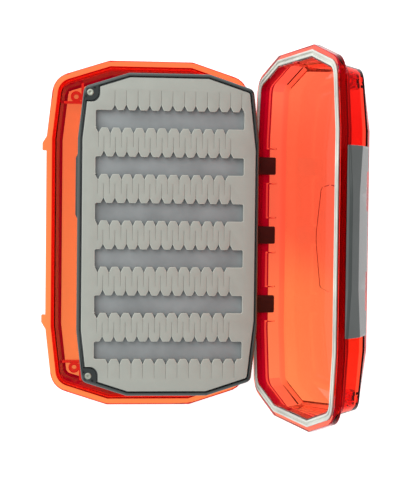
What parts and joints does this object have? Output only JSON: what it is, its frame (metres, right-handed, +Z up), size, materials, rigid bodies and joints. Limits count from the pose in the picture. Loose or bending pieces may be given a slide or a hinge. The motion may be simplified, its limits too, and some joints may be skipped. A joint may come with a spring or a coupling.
{
  "type": "fly box",
  "caption": "Open waterproof fishing fly box in translucent plastic, with a hinged lid, a rim gasket, a swinging leaf of slotted foam on both faces and a long bar latch.",
  "frame": {"origin": "middle of the base's flat underside", "axes": "+Z up, out of the tray; +Y along the long side; +X towards the hinge and the open lid"},
  "size_m": [0.158, 0.19, 0.144],
  "materials": {
    "translucent_orange": "clear orange red plastic, deeper red where it is thick",
    "pale_seal": "soft pale grey, satin",
    "smoked_plastic": "smoked charcoal plastic, glossy",
    "black_plastic": "near black plastic, glossy",
    "pale_foam": "closed cell foam, matt pale grey",
    "foam_backing": "thin matt grey sheet",
    "steel": "plain steel"
  },
  "bodies": {
    "base": {"base_shell": "translucent_orange", "hinge_pin_upper": "steel", "hinge_pin_middle": "steel", "hinge_pin_lower": "steel"},
    "lid": {"lid_shell": "translucent_orange", "lid_gasket": "pale_seal", "leaf_clip_upper": "black_plastic", "leaf_clip_middle": "black_plastic", "leaf_clip_lower": "black_plastic", "latch_pin_upper": "steel", "latch_pin_lower": "steel"},
    "leaf": {"leaf_frame": "smoked_plastic", "foam_front": "pale_foam", "foam_back": "pale_foam", "foam_backing_front": "foam_backing", "foam_backing_back": "foam_backing", "leaf_pin_upper": "steel", "leaf_pin_middle": "steel", "leaf_pin_lower": "steel", "leaf_stud_upper": "steel", "leaf_stud_lower": "steel"},
    "latch": {"latch": "smoked_plastic"}
  },
  "joints": [
    {"name": "lid_hinge", "type": "hinge", "parent": "base", "child": "lid", "pos_m": [0.0581, 0, 0.0189], "axis": [0, 1, 0], "range_deg": [-103, 0]},
    {"name": "leaf_hinge", "type": "hinge", "parent": "lid", "child": "leaf", "pos_m": [0.0567, 0, 0.03031], "axis": [0, 1, 0], "range_deg": [0, 103]},
    {"name": "latch_hinge", "type": "hinge", "parent": "lid", "child": "latch", "pos_m": [0.09486, 0, 0.127], "axis": [0, 1, 0], "range_deg": [-38, 60.5]}
  ],
  "couplings": [
    {"joint": "leaf_hinge", "follows": "lid_hinge", "ratio": -1}
  ]
}
